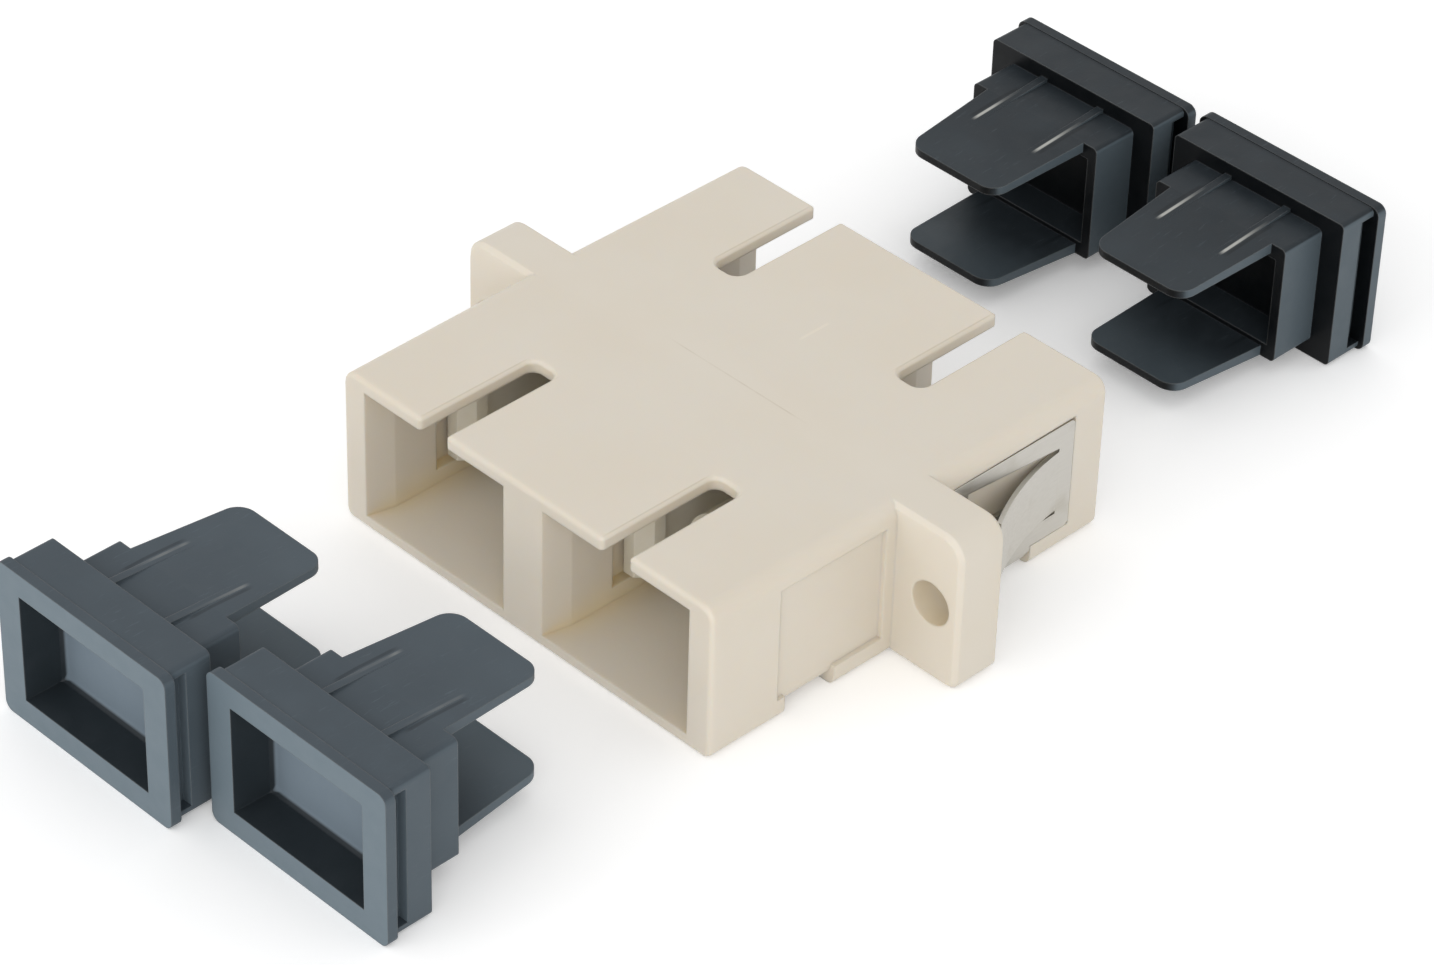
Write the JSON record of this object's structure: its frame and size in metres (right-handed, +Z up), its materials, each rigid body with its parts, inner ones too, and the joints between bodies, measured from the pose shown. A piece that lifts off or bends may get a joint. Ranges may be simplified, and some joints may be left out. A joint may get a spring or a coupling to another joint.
{
  "type": "sc fibre adapter",
  "caption": "Duplex fibre-optic adapter with push-pull ports at both ends, screw ears, a steel panel clip and dust caps that slide off its ports.",
  "frame": {"origin": "under the middle of the body, at the weld between its two halves, level with its underside", "axes": "+X across the two ports, +Y along the fibres from the front ports to the rear ports, +Z up through the key slots"},
  "size_m": [0.0344, 0.0702, 0.0089],
  "materials": {
    "housing": "satin moulded beige PBT",
    "catch": "satin natural moulded plastic",
    "sleeve": "bright phosphor bronze",
    "clip": "rolled spring steel",
    "cap": "satin dark slate-grey soft plastic"
  },
  "bodies": {
    "adapter": {"front_housing": "housing", "rear_housing": "housing", "front_left_catch": "catch", "front_right_catch": "catch", "rear_left_catch": "catch", "rear_right_catch": "catch", "left_sleeve": "sleeve", "right_sleeve": "sleeve", "panel_clip": "clip"},
    "front_left_cap": {"front_left_cap": "cap"},
    "front_right_cap": {"front_right_cap": "cap"},
    "rear_left_cap": {"rear_left_cap": "cap"},
    "rear_right_cap": {"rear_right_cap": "cap"}
  },
  "joints": [
    {"name": "front_left_cap_slide", "type": "slide", "parent": "adapter", "child": "front_left_cap", "axis": [0, 1, 0], "range_m": [0, 0.0186]},
    {"name": "front_right_cap_slide", "type": "slide", "parent": "adapter", "child": "front_right_cap", "axis": [0, 1, 0], "range_m": [0, 0.0166]},
    {"name": "rear_left_cap_slide", "type": "slide", "parent": "adapter", "child": "rear_left_cap", "axis": [0, -1, 0], "range_m": [0, 0.0183]},
    {"name": "rear_right_cap_slide", "type": "slide", "parent": "adapter", "child": "rear_right_cap", "axis": [0, -1, 0], "range_m": [0, 0.0186]}
  ]
}
